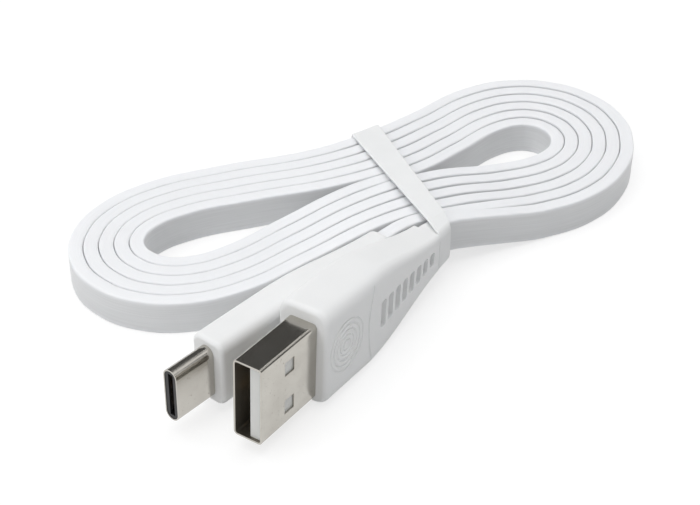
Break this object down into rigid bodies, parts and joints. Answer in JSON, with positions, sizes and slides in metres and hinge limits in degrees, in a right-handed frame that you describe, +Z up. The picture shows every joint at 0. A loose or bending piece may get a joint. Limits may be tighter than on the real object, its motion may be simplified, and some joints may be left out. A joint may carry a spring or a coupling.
{
  "type": "charging cable",
  "caption": "Flat charging cable wound on its edge as a tied hank, with a USB-A plug and a USB-C plug in slotted strain reliefs.",
  "frame": {"origin": "on the surface the cable lies on, under the middle of the box round the whole cable", "axes": "+X along the hank's long axis, away from the plugs; +Y across the hank, away from the plugs; +Z up"},
  "size_m": [0.0976, 0.0652, 0.0153],
  "materials": {
    "cord_jacket": "soft satin PVC",
    "band": "matt silicone",
    "moulding": "satin TPE",
    "inner_mould": "matt polyethylene",
    "shell": "bright nickel plate",
    "white_insulator": "smooth",
    "black_insulator": "smooth",
    "contact": "gold flash",
    "spring_steel": "bright",
    "board": "solder mask",
    "resistor": "matt",
    "wire_red": "smooth",
    "wire_white": "smooth",
    "wire_green": "smooth",
    "wire_black": "smooth"
  },
  "bodies": {
    "root": {"cord_hank": "cord_jacket", "cord_end_a": "cord_jacket", "cord_end_c": "cord_jacket", "tie_band": "band", "usb_a_shell": "shell", "usb_a_insulator": "white_insulator", "usb_a_pin_vbus": "contact", "usb_a_pin_dminus": "contact", "usb_a_pin_dplus": "contact", "usb_a_pin_ground": "contact", "usb_a_wire_red": "wire_red", "usb_a_wire_white": "wire_white", "usb_a_wire_green": "wire_green", "usb_a_wire_black": "wire_black", "usb_a_inner_mould": "inner_mould", "usb_a_overmould": "moulding", "usb_c_shell": "shell", "usb_c_insulator": "black_insulator", "usb_c_pins_upper": "contact", "usb_c_pins_lower": "contact", "usb_c_mid_plate": "spring_steel", "usb_c_latch_left": "spring_steel", "usb_c_latch_right": "spring_steel", "usb_c_spring_upper": "spring_steel", "usb_c_spring_lower": "spring_steel", "usb_c_board": "board", "usb_c_resistor": "resistor", "usb_c_wire_red": "wire_red", "usb_c_wire_white": "wire_white", "usb_c_wire_green": "wire_green", "usb_c_wire_black": "wire_black", "usb_c_inner_mould": "inner_mould", "usb_c_can": "spring_steel", "usb_c_overmould": "moulding"}
  },
  "joints": []
}
